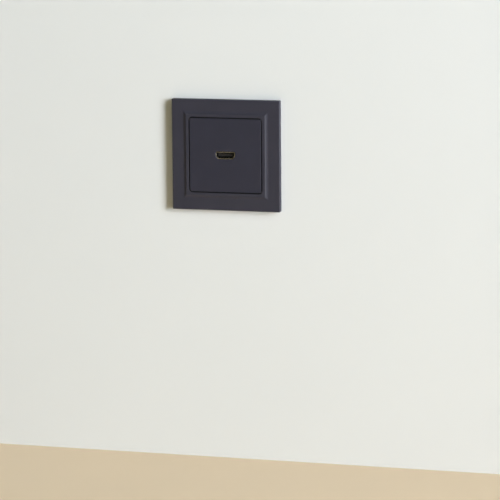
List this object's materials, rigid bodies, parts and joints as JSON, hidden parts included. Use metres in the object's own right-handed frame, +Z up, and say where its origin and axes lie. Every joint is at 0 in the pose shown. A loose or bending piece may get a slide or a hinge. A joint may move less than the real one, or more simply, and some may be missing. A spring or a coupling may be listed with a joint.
{
  "type": "hdmi wall socket",
  "caption": "Square flush wall socket: a cover frame with a raised rim, a centre plate with a video port, and an insert with spreading claws and a rear port facing down.",
  "frame": {"origin": "on the wall's face, midway between the slots for the wall box's screws, behind the middle of the centre plate", "axes": "+X to the right as seen from the room, +Y into the wall, +Z up; the front looks along -Y"},
  "size_m": [0.083, 0.0291, 0.083],
  "materials": {
    "anthracite_plastic": "matt",
    "grey_plastic": "matt",
    "black_plastic": "matt",
    "zinc_plated_steel": "plated",
    "nickel_plated_steel": "bright plated",
    "aluminium": "bright",
    "gilt_contacts": "gilt",
    "board": "lacquered"
  },
  "bodies": {
    "socket": {"cover_frame": "anthracite_plastic", "centre_plate": "anthracite_plastic", "support_ring": "zinc_plated_steel", "carrier_plate": "grey_plastic", "rivets": "aluminium", "base_housing": "grey_plastic", "back_cover": "grey_plastic", "cover_screws": "zinc_plated_steel", "circuit_board": "board", "front_port_shell": "nickel_plated_steel", "front_port_insulator": "black_plastic", "front_port_contacts": "gilt_contacts", "rear_port_shell": "nickel_plated_steel", "rear_port_insulator": "black_plastic", "rear_port_contacts": "gilt_contacts"},
    "left_claw_screw": {"claw_screw_left": "zinc_plated_steel"},
    "left_claw_nut": {"claw_nut_left": "zinc_plated_steel"},
    "left_claw": {"claw_left": "zinc_plated_steel"},
    "right_claw_screw": {"claw_screw_right": "zinc_plated_steel"},
    "right_claw_nut": {"claw_nut_right": "zinc_plated_steel"},
    "right_claw": {"claw_right": "zinc_plated_steel"}
  },
  "joints": [
    {"name": "left_screw_turn", "type": "hinge", "parent": "socket", "child": "left_claw_screw", "pos_m": [-0.0224, 0, 0], "axis": [0, 1, 0], "range_deg": [0, 3600]},
    {"name": "left_nut_travel", "type": "slide", "parent": "socket", "child": "left_claw_nut", "axis": [0, -1, 0], "range_m": [0, 0.005]},
    {"name": "left_claw_spread", "type": "slide", "parent": "socket", "child": "left_claw", "axis": [-0.5, -0.866, 0], "range_m": [0, 0.00577]},
    {"name": "right_screw_turn", "type": "hinge", "parent": "socket", "child": "right_claw_screw", "pos_m": [0.0224, 0, 0], "axis": [0, 1, 0], "range_deg": [0, 3600]},
    {"name": "right_nut_travel", "type": "slide", "parent": "socket", "child": "right_claw_nut", "axis": [0, -1, 0], "range_m": [0, 0.005]},
    {"name": "right_claw_spread", "type": "slide", "parent": "socket", "child": "right_claw", "axis": [0.5, -0.866, 0], "range_m": [0, 0.00577]}
  ],
  "couplings": [
    {"joint": "left_screw_turn", "follows": "left_nut_travel", "rad_per_m": 12566},
    {"joint": "left_claw_spread", "follows": "left_nut_travel", "ratio": 1.1547},
    {"joint": "right_screw_turn", "follows": "right_nut_travel", "rad_per_m": 12566},
    {"joint": "right_claw_spread", "follows": "right_nut_travel", "ratio": 1.1547}
  ]
}
